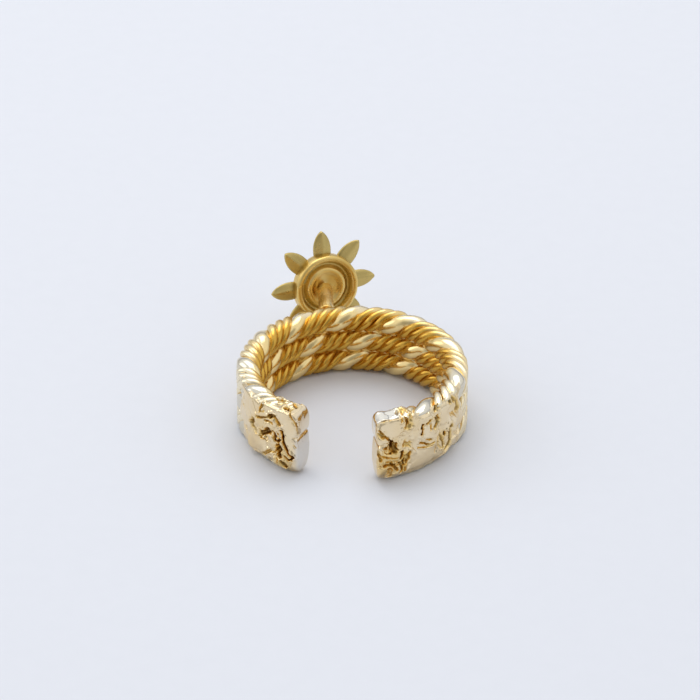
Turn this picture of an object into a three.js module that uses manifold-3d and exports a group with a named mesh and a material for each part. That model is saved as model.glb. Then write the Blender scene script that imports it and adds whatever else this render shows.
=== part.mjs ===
// An open ear cuff: three rows of twisted rope wire soldered into one band, and an
// eight-rayed sun that stands on a short post behind it.
// Millimetres, +Z up. The cuff lies on its side, so the axis of the band is vertical.
// The gap that the edge of the ear goes through faces -Y.
// Angles round the band are in degrees from +Y, clockwise seen from above.
import * as THREE from "three";
import { mergeVertices } from "three/addons/utils/BufferGeometryUtils.js";
import Module from "manifold-3d";

// Band
const outerRadius = 7.2;
const ropeRadius = 0.82;
const rowCount = 3;
const rowSpacing = 1.43;
const endAngle = 158.2;
const rowLag = [0, 3, -2]; // sectors by which the twist of each row is behind the lowest row's
const footDressed = 0.05; // how much is dressed off the underside, so that it stands
const pressedDepth = 0.74; // the outside of the rope is pressed to this, from its axis
const pressGain = 1.18; // and is that much fuller before it meets the press
const solderDepth = 0.36; // how far out solder fills the groove between two rows

// One rope: a thick wire, and three thin wires in the groove on its other side
const twistAngle = 31.9; // of the band's turn, for one whole twist at the far side
const twistStretch = 0.6; // each further twist clockwise is longer by twice this
const firstLobeAngle = -0.5; // where the thick wire of the lowest row crests on top
const thickWire = { radius: 0.6, offset: 0.22 };
const thinWire = { radius: 0.19, offset: 0.56, directions: [120, 180, 240] };
const coreRadius = 0.6;
const sectorAngle = 30; // the rope's section is a ring of points this far apart
const stepsPerTwist = 360 / sectorAngle;

// Fused ends: on each side a finger that ends the upper row, and a wider one for the lower two
const ropeRunIn = 5; // the ropes stop this far inside the fingers
const fingerSides = 20;
const fingerSquareness = 2.6; // 2 is an ellipse
const fingerDepth = 0.79;
const fingers = [
  { side: -1, low: -0.05, high: 2.96, end: 158.2, length: 24 },
  { side: -1, low: 2.72, high: 4.44, end: 157.4, length: 15 },
  { side: 1, low: -0.05, high: 2.86, end: 160.2, length: 22 },
  { side: 1, low: 2.66, high: 4.42, end: 158.4, length: 18 },
];

// Sun
const sunTipRadius = 3.64;
const sunCentre = { radius: 10.44, angle: -16, clearance: 0.13 };
const sunLean = 10.5; // its top leans away from the band
const sunYaw = 14.5; // it looks past the band's axis by this much
const sunTurn = -2; // in its own plane
const rayCount = 8;
const ray = { root: 1.85, rootHalf: 0.42, wide: 2.5, wideHalf: 0.57, back: -0.28, thickness: 0.4, bevel: 0.12 };
const disc = {
  radius: 2.15, // of the rim that stands up round the back
  rimWidth: 0.46,
  back: 0.5, // height of the rim over the plane of the rays
  floor: 0.0,
  innerRingRadius: 1.28,
  innerRingWidth: 0.4,
  innerRingHeight: 0.32,
  front: -0.62,
  dome: 0.5,
};
const discSides = 40;

// Post between the band and the sun
const post = { radius: 0.48, sides: 16, gap: 0.1, footAngle: -19.5 };

// The box of the whole part is centred over the origin
const ringCentre = new THREE.Vector3(0, -2.785, 0);

const gold = new THREE.MeshStandardMaterial({ color: 0xe2c078, roughness: 0.16, metalness: 1 });
const sunGold = new THREE.MeshStandardMaterial({ color: 0xd8b25c, roughness: 0.24, metalness: 1 });
const postGold = new THREE.MeshStandardMaterial({ color: 0xdab766, roughness: 0.22, metalness: 1 });

const ropeAxisRadius = outerRadius - ropeRadius;
const rowHeight = (row) => ropeRadius - footDressed + row * rowSpacing;

const wasm = await Module();
wasm.setup();

// A closed three.js geometry as a solid that can be joined and cut.
function solidOf(geometry) {
  const plain = geometry.clone();
  plain.deleteAttribute("normal");
  plain.deleteAttribute("uv");
  const merged = mergeVertices(plain, 1e-4);
  return new wasm.Manifold(
    new wasm.Mesh({
      numProp: 3,
      vertProperties: merged.attributes.position.array,
      triVerts: new Uint32Array(merged.index.array),
    }),
  );
}

function meshOf(solid, name, material) {
  const made = solid.getMesh();
  const geometry = new THREE.BufferGeometry();
  geometry.setAttribute("position", new THREE.BufferAttribute(made.vertProperties, 3));
  geometry.setIndex(new THREE.BufferAttribute(made.triVerts, 1));
  const flat = geometry.toNonIndexed();
  flat.computeVertexNormals();
  const mesh = new THREE.Mesh(flat, material);
  mesh.name = name;
  return mesh;
}

// A point of the band: angle round it, distance from the rope's circle outwards, and height.
function bandPoint(angle, out, height) {
  const turn = THREE.MathUtils.degToRad(angle);
  const radius = ropeAxisRadius + out;
  return new THREE.Vector3(radius * Math.sin(turn), radius * Math.cos(turn), height);
}

// Joins sections of equal point count into a closed body with flat ends.
function loft(sections) {
  const points = sections[0].outline.length;
  const corners = sections.flatMap((section) => section.outline);
  const first = corners.push(sections[0].centre) - 1;
  const last = corners.push(sections.at(-1).centre) - 1;
  const faces = [];
  const lastRow = (sections.length - 1) * points;
  for (let i = 0; i < points; i += 1) {
    const next = (i + 1) % points;
    for (let row = 0; row < lastRow; row += points) {
      faces.push(row + i, row + next, row + points + i);
      faces.push(row + next, row + points + next, row + points + i);
    }
    faces.push(first, next, i);
    faces.push(last, lastRow + i, lastRow + next);
  }
  const geometry = new THREE.BufferGeometry().setFromPoints(corners);
  geometry.setIndex(faces);
  return geometry;
}

// How far a round wire reaches from the rope's axis in one direction, or 0 where it misses.
function wireReach(radius, offset, awayDegrees) {
  const away = THREE.MathUtils.degToRad(awayDegrees);
  const side = offset * Math.sin(away);
  return Math.abs(side) < radius ? offset * Math.cos(away) + Math.sqrt(radius ** 2 - side ** 2) : 0;
}

// How far the rope reaches, in a direction measured from its thick wire.
function ropeReach(direction) {
  return Math.max(
    coreRadius,
    wireReach(thickWire.radius, thickWire.offset, direction),
    ...thinWire.directions.map((thin) => wireReach(thinWire.radius, thinWire.offset, direction - thin)),
  );
}

const pressed = (out) => (out > 0 ? Math.min(out * pressGain, pressedDepth) : out);

// The points of one row that show, as directions: 0 is outwards and 90 is up.
function shownDirections(row, from, to) {
  const directions = [];
  for (let d = from; d <= to; d += sectorAngle) directions.push({ row, direction: d });
  return directions;
}

// The outline of the band's section, up the outside and down the inside.
function bandOutline() {
  const top = rowCount - 1;
  const outline = shownDirections(0, -sectorAngle, sectorAngle);
  for (let row = 1; row < top; row += 1) {
    outline.push({ row, groove: 1 }, ...shownDirections(row, -sectorAngle, sectorAngle));
  }
  outline.push({ row: top, groove: 1 }, ...shownDirections(top, -sectorAngle, 180 + sectorAngle));
  for (let row = top - 1; row > 0; row -= 1) {
    const inside = shownDirections(row, 180 - sectorAngle, 180 + sectorAngle);
    outline.push({ row: row + 1, groove: -1 }, ...inside);
  }
  outline.push({ row: 1, groove: -1 }, ...shownDirections(0, 180 - sectorAngle, 330 - sectorAngle));
  return outline;
}

// How far round the band the twist has gone after a number of whole twists.
const twistedTo = (twists) => firstLobeAngle + twistAngle * twists + twistStretch * twists ** 2;

// The three rows of rope, from one end to the other.
function ropeRows() {
  const outline = bandOutline();
  const reachAngle = endAngle - ropeRunIn;
  const sections = [];
  for (let step = -6 * stepsPerTwist; step <= 6 * stepsPerTwist; step += 1) {
    const angle = twistedTo(step / stepsPerTwist);
    if (Math.abs(angle) > reachAngle) continue;
    const points = outline.map(({ row, direction, groove }) => {
      const height = rowHeight(row);
      if (groove) return bandPoint(angle, groove * solderDepth, height - rowSpacing / 2);
      const crest = 90 - (step - rowLag[row]) * sectorAngle;
      const turn = THREE.MathUtils.degToRad(direction);
      const reach = ropeReach(direction - crest);
      return bandPoint(angle, pressed(reach * Math.cos(turn)), height + reach * Math.sin(turn));
    });
    const centre = bandPoint(angle, 0, rowHeight((rowCount - 1) / 2));
    sections.push({ centre, outline: points });
  }
  return solidOf(loft(sections));
}

// A rounded finger along the band that closes one or two rows.
function fingerSolid({ side, low, high, end, length }) {
  const middle = (low + high) / 2;
  const half = (high - low) / 2;
  // how far along the finger from its start, and how full its section is there
  const stations = [
    { along: 0, size: 0.7 },
    { along: 0.25, size: 0.95 },
    { along: 0.6, size: 1 },
    { along: 0.86, size: 0.99 },
    { along: 0.96, size: 0.9 },
    { along: 1, size: 0.76 },
  ];
  const round = (value) => Math.sign(value) * Math.abs(value) ** (2 / fingerSquareness);
  const sections = stations.map(({ along, size }) => {
    const angle = side * (end - length * (1 - along));
    const outline = [];
    for (let i = 0; i < fingerSides; i += 1) {
      const turn = (2 * Math.PI * i) / fingerSides;
      const out = pressed(fingerDepth * size * round(Math.cos(turn)));
      outline.push(bandPoint(angle, out, middle + half * size * round(Math.sin(turn))));
    }
    return { centre: bandPoint(angle, 0, middle), outline };
  });
  if (side < 0) sections.reverse();
  return solidOf(loft(sections));
}

function bandSolid() {
  let band = ropeRows();
  for (const finger of fingers) band = band.add(fingerSolid(finger));
  const below = new THREE.BoxGeometry(4 * outerRadius, 4 * outerRadius, 2);
  below.translate(0, 0, -1);
  return band.subtract(solidOf(below));
}

// One ray of the sun, a pointed leaf in the plane of the disc.
function rayGeometry() {
  const tip = sunTipRadius - ray.bevel;
  const rootHalf = ray.rootHalf - ray.bevel;
  const wideHalf = ray.wideHalf - ray.bevel;
  const leaf = new THREE.Shape();
  leaf.moveTo(ray.root, -rootHalf);
  leaf.lineTo(ray.wide, -wideHalf);
  leaf.quadraticCurveTo(ray.wide + 0.5, -wideHalf, tip, 0);
  leaf.quadraticCurveTo(ray.wide + 0.5, wideHalf, ray.wide, wideHalf);
  leaf.lineTo(ray.root, rootHalf);
  const geometry = new THREE.ExtrudeGeometry(leaf, {
    depth: ray.thickness - 2 * ray.bevel,
    bevelEnabled: true,
    bevelSize: ray.bevel,
    bevelThickness: ray.bevel,
    bevelSegments: 2,
    curveSegments: 5,
  });
  return geometry.translate(0, 0, ray.back - ray.thickness / 2 + ray.bevel);
}

// The disc of the sun: a rim and an inner ring stand up from its hollow back, a low dome in front.
function discGeometry() {
  const rimInside = disc.radius - disc.rimWidth;
  const ringInside = disc.innerRingRadius - disc.innerRingWidth;
  const profile = [
    [0, disc.front - disc.dome * 0.5],
    [0.7, disc.front - disc.dome * 0.42],
    [1.3, disc.front - disc.dome * 0.15],
    [1.6, disc.front],
    [1.95, disc.front + 0.06],
    [disc.radius, disc.front + 0.24],
    [disc.radius, disc.back - 0.14],
    [disc.radius - 0.12, disc.back],
    [rimInside + 0.1, disc.back],
    [rimInside, disc.back - 0.1],
    [rimInside - 0.04, disc.floor],
    [disc.innerRingRadius + 0.05, disc.floor],
    [disc.innerRingRadius - 0.06, disc.innerRingHeight],
    [ringInside + 0.08, disc.innerRingHeight],
    [ringInside, disc.floor + 0.02],
    [0, disc.floor - 0.06],
  ];
  return new THREE.LatheGeometry(
    profile.map(([radius, height]) => new THREE.Vector2(radius, height)),
    discSides,
  ).rotateX(Math.PI / 2);
}

// The sun in its own frame: rays in the XY plane, its back towards +Z.
function sunSolid() {
  let sun = solidOf(discGeometry());
  for (let i = 0; i < rayCount; i += 1) {
    const one = rayGeometry().rotateZ(Math.PI / 2 + (2 * Math.PI * i) / rayCount);
    sun = sun.add(solidOf(one));
  }
  return sun;
}

const lean = THREE.MathUtils.degToRad(sunLean);
const sunHeight = sunTipRadius * Math.cos(lean) + sunCentre.clearance;

// A point round the band's axis: distance from the axis, angle and height.
const roundAxis = (radius, angle, height) => bandPoint(angle, radius - ropeAxisRadius, height);

// The sun stands outside the band with its back to the band's axis.
function buildSun() {
  const holder = new THREE.Group();
  holder.position.copy(roundAxis(sunCentre.radius, sunCentre.angle, sunHeight));
  holder.rotation.set(Math.PI / 2, 0, THREE.MathUtils.degToRad(-sunCentre.angle), "ZXY");
  const sun = meshOf(sunSolid(), "sun_charm", sunGold);
  const yaw = THREE.MathUtils.degToRad(sunYaw);
  sun.rotation.set(-lean, yaw, THREE.MathUtils.degToRad(sunTurn), "YXZ");
  holder.add(sun);
  return holder;
}

// A plain round post from the outside of the band to the hollow of the sun's back.
function buildPost() {
  const foot = roundAxis(ropeAxisRadius + pressedDepth + post.gap, post.footAngle, sunHeight);
  const centre = roundAxis(sunCentre.radius, sunCentre.angle, sunHeight);
  const slant = Math.sin(lean) + Math.sin(THREE.MathUtils.degToRad(sunYaw));
  const clear = disc.floor + 0.06 + post.gap + post.radius * slant;
  const along = centre.clone().sub(foot);
  const length = along.length() - clear;
  along.normalize();
  const geometry = new THREE.CylinderGeometry(post.radius, post.radius, length, post.sides);
  const mesh = new THREE.Mesh(geometry, postGold);
  mesh.name = "charm_post";
  mesh.position.copy(foot).addScaledVector(along, length / 2);
  mesh.quaternion.setFromUnitVectors(new THREE.Vector3(0, 1, 0), along);
  return mesh;
}

const earCuff = new THREE.Group();
earCuff.position.copy(ringCentre);
earCuff.add(meshOf(bandSolid(), "rope_band", gold), buildPost(), buildSun());

export default earCuff;
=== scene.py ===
"""Looks of an open ear cuff: three rows of twisted rope wire, fused ends, and a sun on a post.

Metres, +Z up. The cuff lies on its side, with the gap for the ear towards -Y.
Angles round the band are in degrees from +Y, clockwise seen from above.
"""

import math

import bpy
import numpy as np
from mathutils import Matrix, Vector, noise


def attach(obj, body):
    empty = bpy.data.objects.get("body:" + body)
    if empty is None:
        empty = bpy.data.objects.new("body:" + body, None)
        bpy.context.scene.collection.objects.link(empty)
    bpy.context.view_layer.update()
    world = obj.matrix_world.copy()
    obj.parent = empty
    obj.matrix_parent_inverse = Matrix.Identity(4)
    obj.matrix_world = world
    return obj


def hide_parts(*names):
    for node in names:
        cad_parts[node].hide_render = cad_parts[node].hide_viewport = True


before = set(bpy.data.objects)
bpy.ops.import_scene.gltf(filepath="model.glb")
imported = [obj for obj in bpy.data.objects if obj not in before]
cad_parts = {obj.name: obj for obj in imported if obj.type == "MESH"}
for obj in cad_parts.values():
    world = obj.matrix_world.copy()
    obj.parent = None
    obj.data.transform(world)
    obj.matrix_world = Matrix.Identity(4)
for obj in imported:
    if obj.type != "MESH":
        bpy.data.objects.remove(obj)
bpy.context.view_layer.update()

MM = 0.001

# Band, in millimetres
RING_Y = -2.785
AXIS_RADIUS = 6.38
ROW_HEIGHTS = (0.77, 2.2, 3.63)
ROW_TURNS = (0.0, 90.0, -60.0)
TWIST_ANGLE = 31.9
TWIST_STRETCH = 0.6
FIRST_LOBE = -0.5
PRESSED_DEPTH = 0.742
ROPE_FROM, ROPE_TO = -141.5, 145.5

# Where the fused skin starts on each side, and how far the ropes lie back under it
SKIN_LEFT, SKIN_RIGHT = -100.0, 94.0
SKIN_COVER = 0.4

# Wires of one rope: direction from the thick wire in degrees, offset and radius in millimetres
WIRES = (
    {"name": "thick", "direction": 0.0, "offset": 0.32, "radius": 0.5, "thin": 0.0},
    {"name": "thin low", "direction": 112.0, "offset": 0.545, "radius": 0.255, "thin": 1.0},
    {"name": "thin middle", "direction": 180.0, "offset": 0.545, "radius": 0.255, "thin": 1.0},
    {"name": "thin high", "direction": 248.0, "offset": 0.545, "radius": 0.255, "thin": 1.0},
    {"name": "core", "direction": 0.0, "offset": 0.0, "radius": 0.42, "thin": 1.0},
)
SEAM_RADIUS = 0.3

# How far a wire wanders: sway in degrees, lift and girth as shares, and how often along the rope
SWAY, LIFT, GIRTH, DRIFT = 30.0, 0.16, 0.36, 2.2


def twists_at(angle):
    """How many whole twists lead to an angle round the band."""
    root = math.sqrt(TWIST_ANGLE**2 + 4 * TWIST_STRETCH * (angle - FIRST_LOBE))
    return (root - TWIST_ANGLE) / (2 * TWIST_STRETCH)


# Materials


class Shader:
    """A material's node tree, with short calls for the nodes that it needs."""

    def __init__(self, name):
        self.material = bpy.data.materials.new(name)
        self.material.use_nodes = True
        self.nodes = self.material.node_tree.nodes
        self.links = self.material.node_tree.links
        self.surface = self.nodes["Principled BSDF"]
        self.coords = self.nodes.new("ShaderNodeTexCoord").outputs["Object"]

    def link(self, source, target):
        self.links.new(source, target)

    def noise(self, scale, detail=3.0, roughness=0.5):
        node = self.nodes.new("ShaderNodeTexNoise")
        node.inputs["Scale"].default_value = scale
        node.inputs["Detail"].default_value = detail
        node.inputs["Roughness"].default_value = roughness
        self.link(self.coords, node.inputs["Vector"])
        return node.outputs["Fac"]

    def attribute(self, name):
        node = self.nodes.new("ShaderNodeAttribute")
        node.attribute_name = name
        return node.outputs["Fac"]

    def spread(self, source, low, high, to_low=0.0, to_high=1.0):
        node = self.nodes.new("ShaderNodeMapRange")
        for socket, value in zip(node.inputs[1:5], (low, high, to_low, to_high)):
            socket.default_value = value
        self.link(source, node.inputs[0])
        return node.outputs[0]

    def mix(self, factor, first, second):
        node = self.nodes.new("ShaderNodeMix")
        node.data_type = "RGBA"
        self.link(factor, node.inputs["Factor"])
        for socket, value in ((node.inputs[6], first), (node.inputs[7], second)):
            if isinstance(value, tuple):
                socket.default_value = (*value, 1.0)
            else:
                self.link(value, socket)
        return node.outputs[2]

    def bump(self, source, strength, distance, under=None):
        node = self.nodes.new("ShaderNodeBump")
        node.inputs["Strength"].default_value = strength
        node.inputs["Distance"].default_value = distance
        self.link(source, node.inputs["Height"])
        if under is not None:
            self.link(under, node.inputs["Normal"])
        return node.outputs["Normal"]


def gold(name, pale, deep, roughness, painted_shades=None, hammered=0.0, painted_light=None, painted_highlight=None):
    """Gold plating, cloudy in tone and polish, with painted light mixed into its colour: deeper where
    painted shade is marked, paler or greyer where painted reflection is marked, near white where a
    painted highlight is marked.
    """
    shader = Shader(name)
    clouds = shader.spread(shader.noise(420.0, 4.0), 0.35, 0.68)
    tone = shader.mix(clouds, pale, deep)
    # Painted shade: a warm tone, then a brown one, by the painted shade mark.
    if painted_shades is not None:
        warm, brown = painted_shades
        depth = shader.attribute("painted_shade")
        tone = shader.mix(shader.spread(depth, 0.06, 0.45), tone, warm)
        tone = shader.mix(shader.spread(depth, 0.42, 0.85), tone, brown)
    # Painted reflection: paler or greyer gold by its mark.
    if painted_light is not None:
        tone = shader.mix(shader.attribute("painted_light"), tone, painted_light)
    # Painted highlight: near white by its mark.
    if painted_highlight is not None:
        tone = shader.mix(shader.attribute("painted_highlight"), tone, painted_highlight)
    shader.link(tone, shader.surface.inputs["Base Color"])
    shader.surface.inputs["Metallic"].default_value = 1.0
    wear = shader.noise(900.0, 5.0, 0.6)
    shader.link(
        shader.spread(wear, 0.3, 0.75, roughness * 0.75, roughness * 1.5),
        shader.surface.inputs["Roughness"],
    )
    fine = shader.bump(shader.noise(5200.0, 3.0), 0.12, 0.00001)
    waves = shader.bump(shader.noise(1300.0, 2.0), 0.35 + hammered, 0.00003, fine)
    shader.link(waves, shader.surface.inputs["Normal"])
    return shader.material


# Tones of painted shade for each gold: warm, then brown.
ROPE_SHADE_TONES = ((0.9, 0.73, 0.4), (0.9, 0.69, 0.32))
THIN_SHADE_TONES = ((0.76, 0.49, 0.14), (0.68, 0.4, 0.07))
END_SHADE_TONES = ((0.82, 0.57, 0.2), (0.25, 0.14, 0.035))
SUN_SHADE_TONES = ((0.55, 0.42, 0.15), (0.46, 0.32, 0.09))
# Tones of painted reflection, where the metal mirrors the pale room, and of a painted highlight.
THIN_REFLECTION_TONE = (0.89, 0.79, 0.57)
TIP_REFLECTION_TONE = (0.66, 0.665, 0.68)
ROPE_REFLECTION_TONE = (0.72, 0.67, 0.55)
TOP_HIGHLIGHT_TONE = (0.93, 0.91, 0.84)

# The thin wires get a deeper, yellower copy of the thick wires' gold: painted reflection makes the thick
# wires paler, painted shade the thin ones deeper.
ROPE_GOLD = gold(
    "rope_gold", (0.9, 0.78, 0.54), (0.85, 0.68, 0.4), 0.19, ROPE_SHADE_TONES, 0.0, ROPE_REFLECTION_TONE
)
THIN_GOLD = gold(
    "thin_wire_gold", (0.88, 0.69, 0.35), (0.81, 0.56, 0.2), 0.23, THIN_SHADE_TONES, 0.0, THIN_REFLECTION_TONE
)
END_GOLD = gold(
    "fused_gold", (0.88, 0.74, 0.51), (0.84, 0.66, 0.39), 0.14, END_SHADE_TONES, 0.2, TIP_REFLECTION_TONE, TOP_HIGHLIGHT_TONE
)
# The sun's gold is a darker, yellower copy of the same gold, as painted shade: its back faces the dim
# front of the room.
SUN_GOLD = gold("sun_gold", (0.82, 0.6, 0.23), (0.74, 0.51, 0.15), 0.28, SUN_SHADE_TONES)
POST_GOLD = gold("post_gold", (0.9, 0.7, 0.34), (0.84, 0.6, 0.24), 0.24, THIN_SHADE_TONES)


# Ropes


class Nodes:
    """A Geometry Nodes tree, with short calls for sums on its sockets."""

    def __init__(self, name):
        self.tree = bpy.data.node_groups.new(name, "GeometryNodeTree")
        self.face = self.tree.interface
        self.face.new_socket("Geometry", in_out="OUTPUT", socket_type="NodeSocketGeometry")
        self.ins = self.tree.nodes.new("NodeGroupInput")
        self.outs = self.tree.nodes.new("NodeGroupOutput")

    def size(self, name, value, whole=False):
        kind = "NodeSocketInt" if whole else "NodeSocketFloat"
        socket = self.face.new_socket(name, in_out="INPUT", socket_type=kind)
        socket.default_value = value
        return self.ins.outputs[name]

    def node(self, kind, settings=None, **inputs):
        node = self.tree.nodes.new(kind)
        for key, value in (settings or {}).items():
            setattr(node, key, value)
        for key, value in inputs.items():
            self.feed(node.inputs[key.replace("_", " ")], value)
        return node

    def feed(self, socket, value):
        if isinstance(value, bpy.types.NodeSocket):
            self.tree.links.new(value, socket)
        else:
            socket.default_value = value

    def sum(self, operation, *values):
        node = self.node("ShaderNodeMath", {"operation": operation})
        for socket, value in zip(node.inputs, values):
            self.feed(socket, value)
        return node.outputs[0]

    def length(self, first, second):
        square = self.sum("ADD", self.sum("MULTIPLY", first, first), self.sum("MULTIPLY", second, second))
        return self.sum("SQRT", square)

    def ramp(self, value, low, high, to_low, to_high):
        node = self.node("ShaderNodeMapRange", {"interpolation_type": "SMOOTHSTEP"}, Value=value)
        for socket, number in zip(node.inputs[1:5], (low, high, to_low, to_high)):
            socket.default_value = number
        return node.outputs[0]

    def vector(self, x, y, z):
        return self.node("ShaderNodeCombineXYZ", X=x, Y=y, Z=z).outputs[0]

    def wander(self, place, shift):
        """A slow random drift along a wire, from about -0.25 to 0.25."""
        drift = self.node(
            "ShaderNodeTexNoise", {"noise_dimensions": "1D"}, W=self.sum("ADD", place, shift), Scale=1.0
        )
        return self.sum("SUBTRACT", drift.outputs["Fac"], 0.5)

    def tube(self, line, section, girth):
        """A closed round bar along a line, thicker or thinner by the girth."""
        inputs = {"Curve": line, "Profile_Curve": section, "Scale": girth, "Fill_Caps": True}
        return self.node("GeometryNodeCurveToMesh", **inputs).outputs[0]

    def mark(self, geometry, name, value):
        settings = {"data_type": "FLOAT", "domain": "POINT"}
        store = self.node(
            "GeometryNodeStoreNamedAttribute", settings, Geometry=geometry, Name=name, Value=value
        )
        return store.outputs[0]

    def end(self, geometry):
        self.tree.links.new(geometry, self.outs.inputs[0])
        return self.tree


def wire_tree():
    """One wire of a rope, wound round the rope's axis as that goes round the band."""
    n = Nodes("wire of a rope")
    first = n.size("First twist", -5.0)
    last = n.size("Last twist", 4.0)
    steps = n.size("Steps", 400, whole=True)
    sides = n.size("Sides", 20, whole=True)
    twist = n.size("Twist angle", TWIST_ANGLE)
    stretch = n.size("Twist stretch", TWIST_STRETCH)
    lobe = n.size("First lobe", FIRST_LOBE)
    row_turn = n.size("Row turn", 0.0)
    direction = n.size("Wire direction", 0.0)
    offset = n.size("Wire offset", 0.0)
    radius = n.size("Wire radius", 0.0001)
    axis = n.size("Axis radius", AXIS_RADIUS * MM)
    height = n.size("Row height", 0.0)
    thin = n.size("Thin", 0.0)
    uneven = n.size("Unevenness", 1.0)
    seed = n.size("Seed", 0.0)

    line = n.node("GeometryNodeCurvePrimitiveLine")
    points = n.node("GeometryNodeResampleCurve", Curve=line.outputs[0], Count=steps)
    index = n.node("GeometryNodeInputIndex").outputs[0]
    share = n.sum("DIVIDE", index, n.sum("SUBTRACT", steps, 1.0))
    twists = n.sum("ADD", first, n.sum("MULTIPLY", share, n.sum("SUBTRACT", last, first)))
    square = n.sum("MULTIPLY", n.sum("MULTIPLY", twists, twists), stretch)
    angle = n.sum("ADD", n.sum("ADD", n.sum("MULTIPLY", twists, twist), square), lobe)
    angle = n.sum("RADIANS", angle)
    crest = n.sum("ADD", n.sum("SUBTRACT", 90.0, n.sum("MULTIPLY", twists, 360.0)), row_turn)
    own = n.sum("ADD", n.sum("MULTIPLY", seed, 5.3), n.sum("MULTIPLY", direction, 0.031))
    place = n.sum("ADD", n.sum("MULTIPLY", twists, DRIFT), own)
    sway = n.sum("MULTIPLY", n.wander(place, 0.0), n.sum("MULTIPLY", uneven, SWAY))
    turn = n.sum("RADIANS", n.sum("ADD", n.sum("ADD", crest, direction), sway))
    lift = n.sum("MULTIPLY", n.wander(place, 40.0), n.sum("MULTIPLY", uneven, LIFT))
    girth = n.sum("MULTIPLY", n.wander(place, 80.0), n.sum("MULTIPLY", uneven, GIRTH))
    offset = n.sum("MULTIPLY", offset, n.sum("ADD", 1.0, lift))
    reach = n.sum("ADD", axis, n.sum("MULTIPLY", offset, n.sum("COSINE", turn)))
    place = n.vector(
        n.sum("MULTIPLY", reach, n.sum("SINE", angle)),
        n.sum("ADD", n.sum("MULTIPLY", reach, n.sum("COSINE", angle)), RING_Y * MM),
        n.sum("ADD", height, n.sum("MULTIPLY", offset, n.sum("SINE", turn))),
    )
    wound = n.node("GeometryNodeSetPosition", Geometry=points.outputs[0], Position=place)
    section = n.node("GeometryNodeCurvePrimitiveCircle", Radius=radius, Resolution=sides)
    bar = n.tube(wound.outputs[0], section.outputs[0], n.sum("ADD", 1.0, girth))
    smooth = n.node("GeometryNodeSetShadeSmooth", Geometry=bar)
    return n.end(n.mark(smooth.outputs[0], "thin", thin))


def press(n, geometry, axis, pressed, row_height):
    """The outside of the rope is pressed flat, and its underside is dressed where it stands."""
    place = n.node("GeometryNodeInputPosition").outputs[0]
    parts = n.node("ShaderNodeSeparateXYZ", Vector=place)
    east = parts.outputs[0]
    north = n.sum("SUBTRACT", parts.outputs[1], RING_Y * MM)
    radius = n.length(east, north)
    out = n.sum("SUBTRACT", radius, axis)
    outer = n.sum("MAXIMUM", out, 0.0)
    angle = n.sum("DEGREES", n.sum("ARCTAN2", east, north))
    left = n.ramp(angle, SKIN_LEFT - 2.0, SKIN_LEFT - 18.0, 0.0, 1.0)
    right = n.ramp(angle, SKIN_RIGHT + 2.0, SKIN_RIGHT + 15.0, 0.0, 1.0)
    crest = ROW_HEIGHTS[2] * MM
    below = n.ramp(parts.outputs[2], crest + 0.00062, crest + 0.00028, 0.0, 1.0)
    under = n.sum("MULTIPLY", n.sum("MULTIPLY", n.sum("ADD", left, right), below), SKIN_COVER * MM)
    limit = n.sum("SUBTRACT", pressed, under)
    flat = n.sum("SMOOTH_MIN", n.sum("MULTIPLY", outer, 1.16), limit, 0.00014)
    inner = n.sum("MINIMUM", out, 0.0)
    wanted = n.sum("ADD", axis, n.sum("ADD", inner, n.sum("MAXIMUM", flat, 0.0)))
    scale = n.sum("DIVIDE", wanted, radius)
    moved = n.vector(
        n.sum("MULTIPLY", east, scale),
        n.sum("ADD", n.sum("MULTIPLY", north, scale), RING_Y * MM),
        n.sum("MAXIMUM", parts.outputs[2], 0.0),
    )
    # Painted shade on the inside of the band and in the grooves between the wires; painted reflection,
    # paler gold, on the outside towards the ends.
    inside = n.ramp(out, 0.0001, -0.0006, 0.0, 1.0)
    rise = n.sum("SUBTRACT", parts.outputs[2], row_height)
    away = n.length(out, rise)
    between = n.ramp(away, 0.00067, 0.00052, 0.0, 0.85)
    near_ends = n.ramp(n.sum("ABSOLUTE", angle), 62.0, 108.0, 0.0, 1.0)
    near_end_reflection = n.sum("MULTIPLY", near_ends, n.sum("SUBTRACT", 1.0, n.sum("MAXIMUM", inside, between)))
    marked = n.mark(n.mark(geometry, "painted_shade", n.sum("MAXIMUM", inside, between)), "painted_light", near_end_reflection)
    return n.node("GeometryNodeSetPosition", Geometry=marked, Position=moved).outputs[0]


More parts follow.
